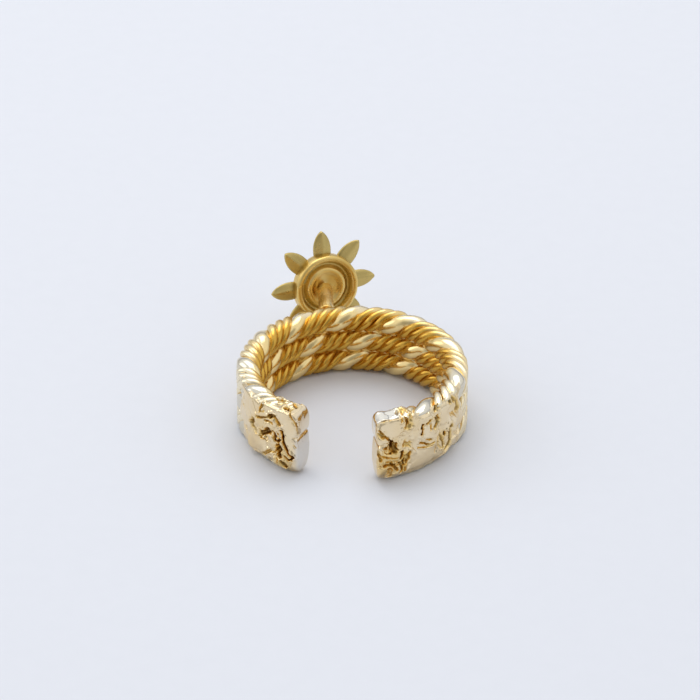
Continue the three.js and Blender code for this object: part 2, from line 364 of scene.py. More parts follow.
def row_tree(wire):
    """One row of the band: a thick wire, three thin ones and a core, wound together."""
    n = Nodes("row of rope")
    shared = {
        "First twist": n.size("First twist", -5.0),
        "Last twist": n.size("Last twist", 4.0),
        "Steps": n.size("Steps", 500, whole=True),
        "Row turn": n.size("Row turn", 0.0),
        "Row height": n.size("Row height", 0.0),
        "Axis radius": n.size("Axis radius", AXIS_RADIUS * MM),
        "Unevenness": n.size("Unevenness", 1.0),
        "Seed": n.size("Seed", 0.0),
    }
    pressed = n.size("Pressed depth", PRESSED_DEPTH * MM)
    thick_sides = n.size("Thick sides", 28, whole=True)
    thin_sides = n.size("Thin sides", 14, whole=True)
    join = n.node("GeometryNodeJoinGeometry")
    for wire_size in WIRES:
        one = n.node("GeometryNodeGroup", {"node_tree": wire})
        for name, source in shared.items():
            n.feed(one.inputs[name], source)
        n.feed(one.inputs["Sides"], thin_sides if wire_size["radius"] < 0.4 else thick_sides)
        n.feed(one.inputs["Wire direction"], wire_size["direction"])
        n.feed(one.inputs["Wire offset"], wire_size["offset"] * MM)
        n.feed(one.inputs["Wire radius"], wire_size["radius"] * MM)
        n.feed(one.inputs["Thin"], wire_size["thin"])
        n.tree.links.new(one.outputs[0], join.inputs[0])
    shaped = press(n, join.outputs[0], shared["Axis radius"], pressed, shared["Row height"])
    whole = n.node("GeometryNodeRealizeInstances", Geometry=shaped)
    thick = n.node("GeometryNodeSetMaterial", Geometry=whole.outputs[0], Material=ROPE_GOLD)
    mark = n.node("GeometryNodeInputNamedAttribute", {"data_type": "FLOAT"}, Name="thin").outputs[0]
    is_thin = n.node("FunctionNodeCompare", {"operation": "GREATER_THAN"}, A=mark, B=0.5)
    both = n.node(
        "GeometryNodeSetMaterial",
        Geometry=thick.outputs[0],
        Selection=is_thin.outputs[0],
        Material=THIN_GOLD,
    )
    return n.end(both.outputs[0])


def seam_tree(wire):
    """The solder between two rows: one plain wire of it, mostly hidden."""
    n = Nodes("solder seam")
    one = n.node("GeometryNodeGroup", {"node_tree": wire})
    n.feed(one.inputs["First twist"], n.size("First twist", -5.0))
    n.feed(one.inputs["Last twist"], n.size("Last twist", 4.0))
    n.feed(one.inputs["Steps"], n.size("Steps", 200, whole=True))
    n.feed(one.inputs["Wire radius"], n.size("Seam radius", SEAM_RADIUS * MM))
    n.feed(one.inputs["Row height"], n.size("Seam height", 0.0015))
    whole = n.node("GeometryNodeRealizeInstances", Geometry=one.outputs[0])
    gilded = n.node("GeometryNodeSetMaterial", Geometry=whole.outputs[0], Material=THIN_GOLD)
    return n.end(gilded.outputs[0])


def grown(name, tree, sizes):
    """A plain mesh object from a tree with the given sizes."""
    mesh = bpy.data.meshes.new(name + "_seed")
    holder = bpy.data.objects.new(name + "_seed", mesh)
    bpy.context.collection.objects.link(holder)
    modifier = holder.modifiers.new("grown", "NODES")
    modifier.node_group = tree
    for socket in tree.interface.items_tree:
        if socket.in_out == "INPUT" and socket.name in sizes:
            modifier[socket.identifier] = sizes[socket.name]
    held = holder.evaluated_get(bpy.context.evaluated_depsgraph_get())
    plain = bpy.data.meshes.new_from_object(held)
    plain.name = name
    if plain.materials[0] is None:
        plain.materials.pop(index=0)
    piece = bpy.data.objects.new(name, plain)
    bpy.context.collection.objects.link(piece)
    holder.modifiers.clear()
    bpy.data.objects.remove(holder)
    return piece


def finish_piece(piece, node):
    """A piece's body, and the solid that it stands for."""
    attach(piece, "root")
    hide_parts(node)


def build_rows():
    """The three rows of rope, and the solder between them."""
    wire = wire_tree()
    tree = row_tree(wire)
    first, last = twists_at(ROPE_FROM), twists_at(ROPE_TO)
    for name, height, turn in zip(("lower", "middle", "upper"), ROW_HEIGHTS, ROW_TURNS):
        sizes = {
            "First twist": first,
            "Last twist": last,
            "Row turn": turn,
            "Row height": height * MM,
            "Seed": height,
        }
        finish_piece(grown("rope_row_" + name, tree, sizes), "rope_band")
    tree = seam_tree(wire)
    for name, low in (("lower", 0), ("upper", 1)):
        height = (ROW_HEIGHTS[low] + ROW_HEIGHTS[low + 1]) / 2
        sizes = {"First twist": first, "Last twist": last, "Seam height": height * MM}
        finish_piece(grown("solder_seam_" + name, tree, sizes), "rope_band")


# Fused ends

# Of each end's shares, one greys its tip with painted reflection, one whitens its top face by the tip
# with a painted highlight.
ENDS = {
    "left": {
        "side": -1, "start": 100.0, "melt": 16.0, "full": 139.5, "end": 159.4,
        "split": 2.75, "raised": 0.12, "dropped": 0.12, "notch": 0.04,
        "inner": 0.88, "painted_light": 0.75, "painted_highlight": 0.0, "seed": 11,
    },
    "right": {
        "side": 1, "start": 94.0, "melt": 13.0, "full": 143.5, "end": 161.8,
        "split": 2.7, "raised": 0.05, "dropped": 0.14, "notch": 0.03,
        "inner": 0.84, "painted_light": 0.0, "painted_highlight": 0.8, "seed": 5,
    },
}
TIP_BEVEL = 0.2
FUSED_TOP = 4.42
# Depth at which a pit or groove gets its full painted shade
FULL_DARK_DEPTH = 0.27

# Facets of the fused metal: spacing in millimetres, lean, and how softly they meet
BROAD_FACETS = (0.9, 0.2, 0.03)
CRUMPLED_FACETS = (0.32, 0.22, 0.008)
RAGGED_FACETS = (0.26, 1.6, 0.01)
TIP_FACETS = (0.5, 0.5, 0.02)

# The block under the fused skin: height of its middle, then half its height above and below that
BLOCK_MIDDLE = 2.23
BLOCK_ABOVE, BLOCK_BELOW = 2.09, 2.17
BLOCK_STATIONS = 300
BLOCK_ROUND = 290


def mark(width, depth, lip, *path, dark=None):
    """A pit or groove, of negative depth, or a ridge; lip is metal that is pushed up beside it."""
    # dark: how strongly painted shade darkens a pit or groove; by default the deeper, the darker
    dark = min(1.0, -depth / FULL_DARK_DEPTH) if dark is None else dark
    return {"width": width, "depth": depth, "lip": lip, "path": path, "dark": dark}


# Marks on the fused metal in millimetres. Each ends with its path: (angle without its sign, height).
# Heights over 4.42 go on over the top edge, towards the inside of the band.
LEFT_MARKS = (
    mark(0.11, -0.2, 0.04, (136.2, 4.2), (134.8, 3.7)),
    mark(0.08, -0.14, 0.03, (135.4, 3.75), (138.4, 3.85)),
    mark(0.12, -0.15, 0.05, (130.1, 2.78), (127.7, 2.42), (128.9, 2.14), (130.9, 1.93), dark=0.85),
    mark(0.08, -0.14, 0.07, (133.0, 3.2), (136.5, 3.36), (140.0, 3.56), (142.5, 3.72), dark=0.8),
    mark(0.12, -0.22, 0.06, (142.5, 3.72), (145.0, 3.84), (146.6, 3.64), (147.4, 3.38)),
    mark(0.09, -0.18, 0.04, (139.4, 3.3), (142.0, 3.42), (144.0, 3.3)),
    mark(0.24, 0.13, 0, (133.4, 2.72), (136.2, 2.84), (138.8, 2.98)),
    mark(0.12, 0.08, 0, (141.4, 3.06), (143.4, 3.0)),
    mark(0.15, -0.24, 0.05, (135.6, 2.12), (138.6, 2.37), (141.8, 2.68)),
    mark(0.14, -0.2, 0, (138.2, 2.3), (139.4, 2.1)),
    mark(0.07, -0.2, 0.06, (135.0, 1.86), (138.0, 1.82), (140.2, 1.64)),
    mark(0.1, 0.1, 0, (141.0, 1.8), (143.2, 1.58)),
    mark(0.05, -0.12, 0.04, (141.6, 1.5), (143.4, 1.34)),
    mark(0.085, -0.26, 0.07, (144.3, 2.74), (145.2, 2.42), (146.2, 2.18), (147.8, 2.17), (148.9, 2.42)),
    mark(0.08, -0.2, 0.04, (146.6, 2.62), (147.4, 2.42)),
    mark(0.1, -0.36, 0.07, (149.9, 3.0), (150.4, 2.7), (150.9, 2.38), (152.3, 2.05), (154.5, 1.62)),
    mark(0.09, 0.1, 0, (148.9, 2.3), (150.6, 1.98), (152.6, 1.68), (154.2, 1.42)),
    mark(0.075, -0.28, 0.05, (151.6, 1.28), (153.8, 1.1), (155.4, 1.14), (157.0, 1.5)),
    mark(0.07, -0.24, 0.03, (154.9, 1.58), (156.9, 1.5)),
    mark(0.17, -0.32, 0.05, (148.6, 1.84), (147.8, 1.5), (147.5, 1.14)),
    mark(0.12, -0.26, 0.06, (149.2, 0.76), (151.5, 0.56)),
    mark(0.1, -0.13, 0.05, (136.0, 0.58), (138.3, 0.86), (141.9, 1.2), (145.0, 1.28), dark=0.65),
    mark(0.08, -0.22, 0.05, (140.9, 0.64), (141.5, 0.36)),
    mark(0.1, 0.09, 0, (144.6, 0.95), (145.4, 0.4)),
    mark(0.06, -0.14, 0.04, (146.6, 0.9), (147.2, 0.4)),
    mark(0.065, -0.19, 0.05, (154.4, 4.7), (155.8, 4.45), (157.2, 4.15), (158.4, 3.7), (159.2, 3.15)),
    mark(0.42, 0.1, 0, (157.6, 5.1), (159.4, 4.6)),
    mark(0.06, -0.12, 0.02, (157.7, 2.28), (158.3, 2.16)),
    mark(0.1, -0.34, 0.05, (149.6, 4.8), (150.6, 4.78)),
    mark(0.09, -0.2, 0.05, (152.8, 4.7), (154.6, 4.86)),
    mark(0.1, -0.2, 0.07, (150.0, 5.5), (152.0, 5.3), (156.0, 5.2)),
    mark(0.1, 0.12, 0, (135.6, 4.5), (136.6, 5.1), (140.6, 5.5), (144.0, 5.54)),
    mark(0.08, -0.24, 0.04, (137.6, 4.6), (139.0, 5.05), (142.0, 5.32), (145.0, 5.36)),
    mark(0.1, -0.36, 0.03, (142.3, 5.46), (143.2, 5.4)),
    mark(0.06, -0.13, 0.04, (140.0, 4.65), (143.0, 4.95), (147.0, 5.15)),
    mark(0.12, 0.1, 0, (146.0, 5.3), (147.2, 5.05), (147.8, 4.8)),
    mark(0.15, -0.09, 0, (104.0, 1.5), (110.0, 1.43), (116.0, 1.53), (121.0, 1.46), dark=0.2),
    mark(0.15, -0.08, 0, (104.0, 2.93), (109.0, 2.99), (114.0, 2.88), (119.0, 2.96), dark=0.2),
)
RIGHT_MARKS = (
    mark(0.24, -0.15, 0.04, (145.0, 5.1), (144.9, 4.4), (145.0, 3.72)),
    mark(0.06, -0.24, 0, (145.3, 4.35), (144.9, 3.85)),
    mark(0.1, 0.1, 0, (147.6, 5.0), (147.3, 4.5), (147.0, 3.9)),
    mark(0.06, -0.14, 0.04, (148.9, 4.7), (148.6, 4.2)),
    mark(0.1, 0.1, 0, (143.2, 4.95), (141.6, 4.9)),
    mark(0.1, -0.26, 0.04, (148.4, 5.1), (149.4, 4.95)),
    mark(0.07, -0.2, 0.05, (142.0, 4.85), (144.0, 4.7)),
    mark(0.07, -0.13, 0, (162.0, 4.44), (156.0, 4.47), (150.0, 4.48), dark=0.8),
    mark(0.055, -0.2, 0.05, (160.6, 3.85), (159.0, 3.52), (156.7, 3.2), (154.5, 2.95), dark=0.6),
    mark(0.11, -0.2, 0, (160.2, 3.6), (158.8, 3.36)),
    mark(0.08, 0.08, 0, (159.6, 3.2), (157.0, 2.98), (155.6, 2.8)),
    mark(0.16, -0.3, 0.05, (154.3, 2.78), (152.6, 2.6), (151.9, 2.24), (153.6, 2.42),
        (154.1, 2.6), dark=0.85),
    mark(0.09, -0.17, 0.05, (158.6, 2.56), (157.6, 2.42)),
    mark(0.09, 0.12, 0, (162.2, 2.66), (160.7, 2.28), (156.3, 1.98), (150.8, 1.87)),
    mark(0.06, -0.15, 0.03, (161.0, 2.06), (155.8, 1.8), (151.0, 1.7)),
    mark(0.07, -0.17, 0.03, (161.8, 2.42), (160.8, 1.95), (160.1, 1.64)),
    mark(0.06, -0.13, 0.06, (159.0, 1.42), (156.5, 1.54), (153.6, 1.46)),
    mark(0.08, -0.19, 0.07, (158.5, 1.26), (154.5, 1.3), (152.6, 1.12), (151.0, 0.8)),
    mark(0.06, -0.14, 0.05, (156.4, 1.0), (153.6, 0.86)),
    mark(0.09, -0.24, 0.05, (148.8, 2.06), (148.9, 1.6)),
    mark(0.09, -0.24, 0.05, (147.2, 1.4), (147.4, 1.06)),
    mark(0.08, -0.2, 0.06, (149.2, 1.2), (148.4, 0.84), (149.2, 0.56)),
    mark(0.07, -0.16, 0.06, (146.8, 0.84), (146.0, 0.5)),
    mark(0.1, -0.2, 0.05, (144.6, 1.9), (144.9, 1.5), (145.8, 1.1)),
    mark(0.17, -0.16, 0, (146.8, 2.56), (145.2, 2.42)),
    mark(0.07, -0.34, 0.05, (136.8, 3.42), (137.1, 3.1), (137.4, 2.84)),
    mark(0.09, -0.26, 0.05, (134.3, 3.48), (132.5, 3.64)),
    mark(0.06, -0.16, 0.05, (131.6, 3.3), (131.9, 2.9)),
    mark(0.13, -0.17, 0.05, (127.4, 3.64), (126.6, 3.3), (128.2, 2.86), dark=0.8),
    mark(0.08, -0.14, 0.05, (128.3, 4.08), (127.0, 4.4), dark=1.0),
    mark(0.06, -0.12, 0.05, (126.2, 4.14), (125.0, 4.44), dark=1.0),
    mark(0.07, -0.14, 0.05, (121.0, 4.4), (118.8, 4.85), dark=1.0),
    mark(0.08, -0.15, 0.05, (116.2, 4.5), (117.4, 3.95), dark=0.95),
    mark(0.13, -0.13, 0.04, (113.7, 3.97), (111.3, 3.54), (110.8, 3.12), dark=0.7),
    mark(0.14, -0.1, 0.06, (117.1, 2.26), (116.7, 1.78), (117.1, 1.34), (118.4, 1.02),
        (120.5, 0.9), dark=0.9),
    mark(0.11, -0.11, 0.05, (124.9, 2.1), (124.1, 1.7), (123.5, 1.28), dark=0.8),
    mark(0.06, -0.1, 0.04, (126.4, 2.06), (126.9, 1.56), (125.2, 1.18), dark=0.35),
    mark(0.06, -0.12, 0.04, (122.6, 1.74), (122.2, 1.3), dark=0.4),
    mark(0.08, -0.18, 0.04, (121.8, 2.08), (121.0, 1.9), dark=1.0),
    mark(0.06, -0.17, 0.05, (138.2, 2.28), (133.2, 1.94), (130.0, 1.95)),
    mark(0.06, -0.15, 0.05, (135.2, 2.43), (131.8, 2.22)),
    mark(0.05, -0.12, 0.05, (139.4, 1.96), (136.0, 1.84), (131.0, 1.8)),
    mark(0.13, -0.09, 0, (98.0, 1.5), (103.0, 1.43), (108.0, 1.53), (112.0, 1.46), dark=0.2),
    mark(0.13, -0.08, 0, (98.0, 2.9), (104.0, 2.98), (109.0, 2.86), (114.0, 2.92), dark=0.2),
    mark(0.14, -0.05, 0, (144.0, 0.4), (134.0, 0.5), (126.0, 0.5)),
)

# Smooth places: angle and height of the middle, then half the width and half the height
LEFT_CALM = (
    (155.5, 3.0, 5.6, 1.4),
    (125.0, 3.9, 11.0, 0.8),
    (131.0, 1.2, 6.0, 0.7),
    (142.0, 4.3, 8.0, 0.5),
    (134.0, 5.0, 5.0, 0.8),
    (108.0, 2.2, 17.0, 3.0),
)
RIGHT_CALM = (
    (154.5, 3.7, 6.5, 0.75),
    (155.5, 5.2, 7.0, 0.7),
    (140.5, 3.5, 3.2, 1.0),
    (136.0, 1.1, 8.0, 0.75),
    (122.0, 3.3, 4.0, 0.6),
    (98.0, 2.2, 11.0, 3.0),
    (118.6, 1.5, 4.0, 1.1),
)

# Places where the metal is more crumpled and painted shade darkens and warms the gold, given the same
# way, with a share last
LEFT_SHADED_CRUMPLES = (
    (150.0, 1.0, 6.5, 1.0, 0.42),
    (139.5, 2.9, 9.0, 1.0, 0.25),
    (147.8, 1.5, 2.2, 0.6, 0.4),
    (153.5, 1.25, 4.0, 0.4, 0.4),
)
RIGHT_SHADED_CRUMPLES = (
    (155.5, 1.4, 8.0, 1.6, 0.42),
    (147.3, 1.3, 2.8, 1.0, 0.6),
    (145.2, 4.15, 2.3, 0.8, 0.55),
    (121.0, 1.6, 5.0, 0.9, 0.1),
    (140.5, 3.4, 3.0, 0.9, 0.16),
)


def smoothstep(low, high, value):
    """From 0 at low to 1 at high, with a soft start and end."""
    share = np.clip((value - low) / (high - low), 0.0, 1.0)
    return share * share * (3.0 - 2.0 * share)


def path_distance(points, path):
    """Distance from each point to a path, in millimetres on the outside of the band."""
    around = AXIS_RADIUS + PRESSED_DEPTH
    nodes = np.array([(math.radians(angle) * around, height) for angle, height in path])
    nearest = np.full(len(points), 1e9)
    for start, stop in zip(nodes[:-1], nodes[1:]):
        line = stop - start
        share = np.clip(((points - start) @ line) / (line @ line), 0.0, 1.0)
        gap = np.linalg.norm(points - (start + share[:, None] * line), axis=1)
        nearest = np.minimum(nearest, gap)
    return nearest


def hammered(points, seed, spacing, tilt, blend):
    """Soft facets, as metal has that was melted and pressed: each leans its own way."""
    random = np.random.default_rng(seed)
    low, high = points.min(0), points.max(0)
    across = np.arange(low[0], high[0] + spacing, spacing)
    upward = np.arange(low[1], high[1] + spacing, spacing)
    grid = np.array([(x, y + spacing / 2 * (i % 2)) for i, x in enumerate(across) for y in upward])
    centres = grid + random.uniform(-0.42, 0.42, grid.shape) * spacing
    lean = random.normal(0.0, tilt, grid.shape)
    raised = random.normal(0.0, tilt * 0.13, len(grid))
    total, weights = np.zeros(len(points)), np.zeros(len(points))
    best = np.full(len(points), 1e9)
    for centre in centres:
        best = np.minimum(best, ((points - centre) ** 2).sum(1))
    for centre, slope, lift in zip(centres, lean, raised):
        offset = points - centre
        weight = np.exp((best - (offset**2).sum(1)) / blend)
        total += weight * (lift + offset @ slope)
        weights += weight
    return total / weights


def calm_share(angles, heights, places):
    """How far each point lies in one of the smooth places, from 0 to 1."""
    calm = np.zeros(len(angles))
    for angle, height, wide, tall in places:
        away = np.sqrt(((angles - angle) / wide) ** 2 + ((heights - height) / tall) ** 2)
        calm = np.maximum(calm, 1 - smoothstep(0.75, 1.15, away))
    return calm


def shaded_crumple_share(angles, heights, places):
    """How warm the gold is at each point, from 0 to 1."""
    warm = np.zeros(len(angles))
    for angle, height, wide, tall, strength in places:
        away = np.sqrt(((angles - angle) / wide) ** 2 + ((heights - height) / tall) ** 2)
        warm = np.maximum(warm, strength * (1 - smoothstep(0.55, 1.2, away)))
    return warm


def end_relief(angles, heights, shape, marks, calm_places, shaded_crumple_places):
    """Height of the relief on a fused end, and how much painted shade each place gets."""
    around = AXIS_RADIUS + PRESSED_DEPTH
    points = np.column_stack((np.radians(angles) * around, heights))
    restless = 1 - 0.8 * calm_share(angles, heights, calm_places)
    warm = shaded_crumple_share(angles, heights, shaded_crumple_places)
    relief = hammered(points, shape["seed"], *BROAD_FACETS) * restless - 0.02
    crumple = hammered(points, shape["seed"] + 1, *CRUMPLED_FACETS)
    relief = relief + crumple * (0.22 * restless**2 + 0.5 * warm)
    end_shade = warm * 0.75
    ragged = 1 + np.clip(hammered(points, shape["seed"] + 3, *RAGGED_FACETS), -0.4, 0.4)
    for mark in marks:
        gap = path_distance(points, mark["path"]) / (mark["width"] * ragged)
        profile = np.exp(-(gap**2.6))
        relief = relief + mark["depth"] * profile
        relief = relief + mark["lip"] * np.exp(-(((gap - 1.8) / 0.65) ** 2))
        # Pits and grooves get painted shade: full on their floor and a faint halo round them.
        if mark["depth"] < 0:
            floor = np.exp(-((gap / 1.15) ** 4))
            halo = 0.3 * np.exp(-((gap / 2.6) ** 2))
            end_shade = np.maximum(end_shade, np.maximum(floor, halo) * mark["dark"])
    return relief, end_shade


def block_section(count):
    """A round-edged oblong: share inwards or outwards, and share down or up."""
    turn = np.linspace(0.0, 2 * math.pi, 20001)
    upper = np.where(np.cos(turn) > 0, 2 / 8.0, 2 / 5.0)
    lower = np.where(np.cos(turn) > 0, 2 / 4.6, 2 / 3.2)
    power = np.where(np.sin(turn) > 0, upper, lower)
    out = np.sign(np.cos(turn)) * np.abs(np.cos(turn)) ** power
    rise = np.sign(np.sin(turn)) * np.abs(np.sin(turn)) ** power
    step = np.hypot(np.diff(out) * 0.76, np.diff(rise) * 2.2)
    step = step * (1 + 1.7 * smoothstep(-0.1, 0.8, (out[1:] + out[:-1]) / 2))
    length = np.append(0.0, np.cumsum(step))
    at = np.linspace(0.0, length[-1], count, endpoint=False)
    return np.interp(at, length, out), np.interp(at, length, rise)


def tip_reach(heights, split):
    """How far the tip stands out at each height: two round lobes with a notch between them."""
    reach = np.zeros(len(heights))
    for low, high, far in ((0.05, split, 0.16), (split, FUSED_TOP + 0.02, 0.2)):
        away = np.clip(np.abs(heights - (low + high) / 2) / ((high - low) / 2), 0.0, 1.0)
        reach = np.maximum(reach, far * np.sqrt(1 - away**2))
    return reach


def end_stations(start, end):
    """Stations along the block, then round the bevel and in over the tip's face."""
    bevel_turn = math.degrees(TIP_BEVEL / AXIS_RADIUS)
    face = 34
    bevel = 14
    along = np.linspace(start, end - bevel_turn, BLOCK_STATIONS - face - bevel)
    round_turn = np.linspace(0.0, math.pi / 2, bevel + 1)[1:]
    rounded = end - bevel_turn + bevel_turn * np.sin(round_turn)
    stations = np.concatenate((along, rounded, np.full(face, end)))
    edge = TIP_BEVEL * (1 - np.cos(round_turn))
    inset = np.concatenate((np.zeros(len(along)), edge, np.full(face, TIP_BEVEL)))
    shrink = np.concatenate((np.ones(len(along) + bevel), np.linspace(1.0, 0.03, face + 1)[1:]))
    return stations, inset, shrink


def closed_mesh(name, verts, rings, around, flip, values, material):
    """A tube of rings, closed with a fan at each end."""
    row = np.arange(rings - 1)[:, None] * around
    col = np.arange(around)[None, :]
    after = (col + 1) % around
    quads = np.stack((row + col, row + around + col, row + around + after, row + after), 2)
    first, last = rings * around, rings * around + 1
    base = (rings - 1) * around
    faces = quads.reshape(-1, 4).tolist()
    faces += [(first, i, (i + 1) % around) for i in range(around)]
    faces += [(last, base + (i + 1) % around, base + i) for i in range(around)]
    if flip:
        faces = [tuple(reversed(face)) for face in faces]
    ends = [verts[:around].mean(0), verts[-around:].mean(0)]
    mesh = bpy.data.meshes.new(name)
    mesh.from_pydata(np.vstack((verts, ends)).tolist(), [], faces)
    mesh.update()
    for key, value in values.items():
        attribute = mesh.attributes.new(key, "FLOAT", "POINT")
        attribute.data.foreach_set("value", np.append(value, value[[0, -1]]).astype(np.float32))
    mesh.shade_smooth()
    mesh.materials.append(material)
    piece = bpy.data.objects.new(name, mesh)
    bpy.context.collection.objects.link(piece)
    return piece


def block_form(shape, a, out, rise, inset, shrink, skin, body):
    """The block before its relief: depth from the ropes' axis, and height."""
    end = shape["end"]
    inner = 0.1 + (shape["inner"] - 0.1) * body
    outer = 0.15 + (PRESSED_DEPTH - 0.15) * skin
    half_height = np.where(rise > 0, BLOCK_ABOVE + 0.1 * body, BLOCK_BELOW)
    reach_out = np.where(out > 0, outer, inner)
    depth = out * (reach_out - inset) * shrink
    height = BLOCK_MIDDLE + rise * (half_height - inset) * shrink
    dropped = 0.34 * (1 - body) * smoothstep(0.75, 0.1, out) * smoothstep(0.6, 1.0, rise)
    height = height - dropped
    height = height + 0.13 * smoothstep(end - 6.0, end, a) * smoothstep(0.0, -1.0, rise)
    height = height + shape["raised"] * smoothstep(end - 8.0, end - 3.0, a) * smoothstep(0.5, 1.0, rise)
    height = height - shape["dropped"] * smoothstep(end - 3.4, end, a) ** 2 * smoothstep(0.3, 1.0, rise)
    depth = depth - 0.2 * smoothstep(-0.72, -1.0, rise) * np.maximum(out, 0.0) * shrink
    over = np.hypot(depth, height - ROW_HEIGHTS[2]) / 0.79
    shoulder = np.where((height > ROW_HEIGHTS[2]) & (over > 1.0), (1 - 1 / np.maximum(over, 1.0)), 0.0)
    shoulder = shoulder * (1 - body)
    return depth * (1 - shoulder), height - (height - ROW_HEIGHTS[2]) * shoulder


def tip_form(shape, a, depth, height):
    """The two round lobes of the tip, and the notch between them."""
    end = shape["end"]
    uneven = hammered(np.column_stack((depth, height)), shape["seed"] + 2, *TIP_FACETS)
    reach = tip_reach(height, shape["split"]) + 0.05 * uneven.clip(-1, 1)
    reach = reach * smoothstep(end - 9.0, end, a) ** 2
    notch = np.exp(-(((height - shape["split"]) / 0.1) ** 2)) * smoothstep(end - 3.5, end, a)
    reach = reach - 0.2 - shape["notch"] * notch
    a = a + np.degrees(reach / AXIS_RADIUS) * smoothstep(end - 9.0, end, a)
    return a, depth * (1 - 0.16 * notch), notch


def end_piece(name, shape, marks, calm_places, shaded_crumple_places):
    """Full at the tip, and only an outer skin over the ropes further along."""
    start, end = shape["start"], shape["end"]
    stations, inset, shrink = end_stations(start, end)
    out, rise = block_section(BLOCK_ROUND)
    a = np.repeat(stations, BLOCK_ROUND)
    inset = np.repeat(inset, BLOCK_ROUND)
    shrink = np.repeat(shrink, BLOCK_ROUND)
    out = np.tile(out, BLOCK_STATIONS)
    rise = np.tile(rise, BLOCK_STATIONS)

    body = smoothstep(shape["full"] - 7.0, shape["full"], a)
    wave = 3.0 * np.sin(rise * 5.0 + shape["seed"]) + 1.5 * np.sin(rise * 11.0)
    skin = smoothstep(start + wave, start + wave + shape["melt"], a)
    depth, height = block_form(shape, a, out, rise, inset, shrink, skin, body)

    over_edge = np.clip(PRESSED_DEPTH - 0.12 - depth, 0.0, None) * smoothstep(0.93, 1.0, rise)
    unrolled = height + over_edge
    relief, end_shade = end_relief(a, unrolled, shape, marks, calm_places, shaded_crumple_places)
    facing = smoothstep(0.5, 0.93, out)
    front = facing * (1 - 0.5 * smoothstep(0.93, 1.0, rise))
    top = smoothstep(0.9, 1.0, rise) * body
    relief = relief * skin * smoothstep(0.55, 1.0, shrink)
    depth = depth + np.clip(relief, -0.6, 0.11) * front
    height = height + np.clip(relief, -0.5, 0.07) * top

    a, depth, notch = tip_form(shape, a, depth, height)
    radius = AXIS_RADIUS + depth
    theta = np.radians(a) * shape["side"]
    places = (radius * np.sin(theta), radius * np.cos(theta) + RING_Y, np.clip(height, 0.0, 4.5))
    verts = np.column_stack(places) * MM
    # Painted shade where it shows, on the outer and top faces, and a little in the notch of the tip.
    painted_end_shade = end_shade * np.maximum(facing, smoothstep(0.9, 1.0, rise)) * skin * smoothstep(0.9, 1.0, shrink)
    painted_end_shade = np.maximum(painted_end_shade, 0.15 * notch * smoothstep(0.2, 0.9, shrink))
    # Painted reflection: the tip is greyed, more on its lower lobe.
    low = smoothstep(shape["split"], shape["split"] - 0.3, height)
    painted_light = smoothstep(end - 3.4, end, a) * (0.4 + 0.6 * low)
    # Painted highlight: near white on the top face by the tip.
    bright = smoothstep(0.97, 1.0, rise) * smoothstep(146.6, 149.4, a) * smoothstep(0.95, 0.6, out)
    values = {"painted_shade": painted_end_shade, "painted_light": painted_light * shape["painted_light"], "painted_highlight": bright * shape["painted_highlight"]}
    return closed_mesh(name, verts, BLOCK_STATIONS, BLOCK_ROUND, shape["side"] > 0, values, END_GOLD)


def build_ends():
    """The two fused ends of the band."""
    ends = (
        ("left", LEFT_MARKS, LEFT_CALM, LEFT_SHADED_CRUMPLES),
        ("right", RIGHT_MARKS, RIGHT_CALM, RIGHT_SHADED_CRUMPLES),
    )
    for name, marks, calm_places, shaded_crumple_places in ends:
        piece = end_piece("fused_end_" + name, ENDS[name], marks, calm_places, shaded_crumple_places)
        finish_piece(piece, "rope_band")


# Sun

SUN = {
    "radius": 10.44,
    "angle": -16.0,
    "lean": 10.5,
    "yaw": 14.5,
    "turn": -2.0,
    "tip": 3.6,
    "reach": 3.64,
    "clearance": 0.13,
    "rays": 8,
}
POST = {"radius": 0.48, "gap": 0.1, "angle": -19.5, "floor": 0.06, "edge": 0.07, "sides": 64}
SUN_HEIGHT = SUN["reach"] * math.cos(math.radians(SUN["lean"])) + SUN["clearance"]

# One ray: its half width from root to tip, then how finely it is made
RAY_OUTLINE = ((0.0, 0.9), (0.2, 0.98), (0.42, 1.0), (0.62, 0.93), (0.8, 0.74), (0.92, 0.48), (1.0, 0.03))
RAY_STEPS, RAY_SIDES, RAY_SEED = 40, 24, 3

# Half section of the disc: distance from its middle and height over the plane of the rays
DISC_SECTION = (
    (0.0, -0.87),
    (0.5, -0.85),
    (1.0, -0.77),
    (1.4, -0.66),
    (1.7, -0.58),
    (1.98, -0.5),
    (2.11, -0.36),
    (2.14, -0.1),
    (2.13, 0.28),
    (2.09, 0.42),
    (1.99, 0.49),
    (1.86, 0.48),
    (1.76, 0.4),
    (1.7, 0.24),
    (1.64, 0.06),
    (1.54, 0.0),
    (1.44, 0.06),
    (1.36, 0.16),
    (1.26, 0.28),
    (1.13, 0.32),
    (1.0, 0.3),
    (0.9, 0.24),
    (0.8, 0.2),
    (0.6, 0.18),
    (0.3, 0.17),
    (0.0, 0.17),
)


def sun_place():
    """Where the sun stands: its plane, lean and turn, as one matrix in metres."""
    turn = math.radians(SUN["angle"])
    place = Vector((SUN["radius"] * math.sin(turn), SUN["radius"] * math.cos(turn) + RING_Y, SUN_HEIGHT))
    spin = Matrix.Rotation(-turn, 4, "Z") @ Matrix.Rotation(math.pi / 2, 4, "X")
    own = Matrix.Rotation(math.radians(SUN["yaw"]), 4, "Y")
    own = own @ Matrix.Rotation(-math.radians(SUN["lean"]), 4, "X")
    own = own @ Matrix.Rotation(math.radians(SUN["turn"]), 4, "Z")
    return Matrix.Translation(place * MM) @ spin @ own


